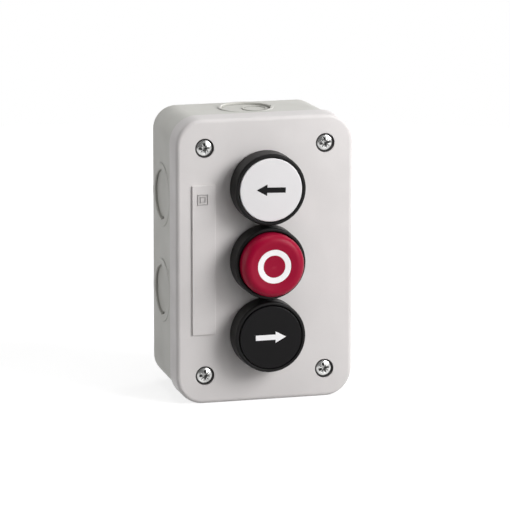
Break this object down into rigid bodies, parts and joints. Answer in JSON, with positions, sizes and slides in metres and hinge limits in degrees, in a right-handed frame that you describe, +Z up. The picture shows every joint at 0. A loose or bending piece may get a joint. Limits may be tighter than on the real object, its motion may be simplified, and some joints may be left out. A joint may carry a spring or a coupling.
{
  "type": "pushbutton control station",
  "caption": "Moulded wall box with spring-return push buttons in a row: flush caps with direction arrows and a projecting stop cap with a ring.",
  "frame": {"origin": "centre of the box's flat back face, which lies on the wall", "axes": "+Z up the wall along the box's height, +X to the right for someone facing the buttons, the buttons face -Y and the wall is at +Y"},
  "size_m": [0.073, 0.0608, 0.116],
  "materials": {
    "housing_grey": "fine-grained light grey moulding",
    "cover_grey": "fine-grained pale grey moulding",
    "seal_rubber": "soft black rubber",
    "zinc_plate": "bright zinc plate",
    "bezel_black": "satin black moulding",
    "nut_black": "satin dark grey moulding",
    "cap_white": "smooth white moulding",
    "cap_red": "smooth crimson moulding",
    "cap_black": "smooth black moulding",
    "legend_black": "black two-shot inlay",
    "legend_white": "white two-shot inlay",
    "spring_steel": "bright spring wire",
    "block_ivory": "pale ivory moulding",
    "plunger_red": "red moulding",
    "plunger_green": "green moulding",
    "contact_brass": "brass strip with silver tips"
  },
  "bodies": {
    "enclosure": {"enclosure_base": "housing_grey", "enclosure_cover": "cover_grey", "cover_seal": "seal_rubber", "cover_screws": "zinc_plate", "screw_seals": "seal_rubber", "block_screws": "zinc_plate", "left_bezel": "bezel_black", "left_bezel_seal": "seal_rubber", "left_fixing_nut": "nut_black", "left_spring_retainer": "nut_black", "left_return_spring": "spring_steel", "left_contact_block": "block_ivory", "left_block_cover": "block_ivory", "left_contact_spring": "spring_steel", "left_fixed_contacts": "contact_brass", "left_wire_clamps": "zinc_plate", "left_terminal_screws": "zinc_plate", "stop_bezel": "bezel_black", "stop_bezel_seal": "seal_rubber", "stop_fixing_nut": "nut_black", "stop_spring_retainer": "nut_black", "stop_return_spring": "spring_steel", "stop_contact_block": "block_ivory", "stop_block_cover": "block_ivory", "stop_contact_spring": "spring_steel", "stop_fixed_contacts": "contact_brass", "stop_wire_clamps": "zinc_plate", "stop_terminal_screws": "zinc_plate", "right_bezel": "bezel_black", "right_bezel_seal": "seal_rubber", "right_fixing_nut": "nut_black", "right_spring_retainer": "nut_black", "right_return_spring": "spring_steel", "right_contact_block": "block_ivory", "right_block_cover": "block_ivory", "right_contact_spring": "spring_steel", "right_fixed_contacts": "contact_brass", "right_wire_clamps": "zinc_plate", "right_terminal_screws": "zinc_plate"},
    "left_button": {"left_cap": "cap_white", "left_arrow": "legend_black", "left_stem": "nut_black"},
    "left_contact": {"left_contact_plunger": "plunger_green", "left_contact_bridge": "contact_brass"},
    "stop_button": {"stop_cap": "cap_red", "stop_ring": "legend_white", "stop_stem": "nut_black"},
    "stop_contact": {"stop_contact_plunger": "plunger_red", "stop_contact_bridge": "contact_brass"},
    "right_button": {"right_cap": "cap_black", "right_arrow": "legend_white", "right_stem": "nut_black"},
    "right_contact": {"right_contact_plunger": "plunger_green", "right_contact_bridge": "contact_brass"}
  },
  "joints": [
    {"name": "left_press", "type": "slide", "parent": "enclosure", "child": "left_button", "axis": [0, 1, 0], "range_m": [0, 0.004], "stiffness_N_per_m": 700, "springref_m": -0.004, "deforming": ["left_return_spring"]},
    {"name": "stop_press", "type": "slide", "parent": "enclosure", "child": "stop_button", "axis": [0, 1, 0], "range_m": [0, 0.004], "stiffness_N_per_m": 700, "springref_m": -0.004, "deforming": ["stop_return_spring"]},
    {"name": "right_press", "type": "slide", "parent": "enclosure", "child": "right_button", "axis": [0, 1, 0], "range_m": [0, 0.004], "stiffness_N_per_m": 700, "springref_m": -0.004, "deforming": ["right_return_spring"]},
    {"name": "left_contact_slide", "type": "slide", "parent": "enclosure", "child": "left_contact", "axis": [0, 1, 0], "range_m": [0, 0.004], "stiffness_N_per_m": 250, "springref_m": -0.003, "deforming": ["left_contact_spring"]},
    {"name": "stop_contact_slide", "type": "slide", "parent": "enclosure", "child": "stop_contact", "axis": [0, 1, 0], "range_m": [0, 0.004], "stiffness_N_per_m": 250, "springref_m": -0.003, "deforming": ["stop_contact_spring"]},
    {"name": "right_contact_slide", "type": "slide", "parent": "enclosure", "child": "right_contact", "axis": [0, 1, 0], "range_m": [0, 0.004], "stiffness_N_per_m": 250, "springref_m": -0.003, "deforming": ["right_contact_spring"]}
  ],
  "couplings": [
    {"joint": "left_contact_slide", "follows": "left_press", "ratio": 1},
    {"joint": "stop_contact_slide", "follows": "stop_press", "ratio": 1},
    {"joint": "right_contact_slide", "follows": "right_press", "ratio": 1}
  ]
}
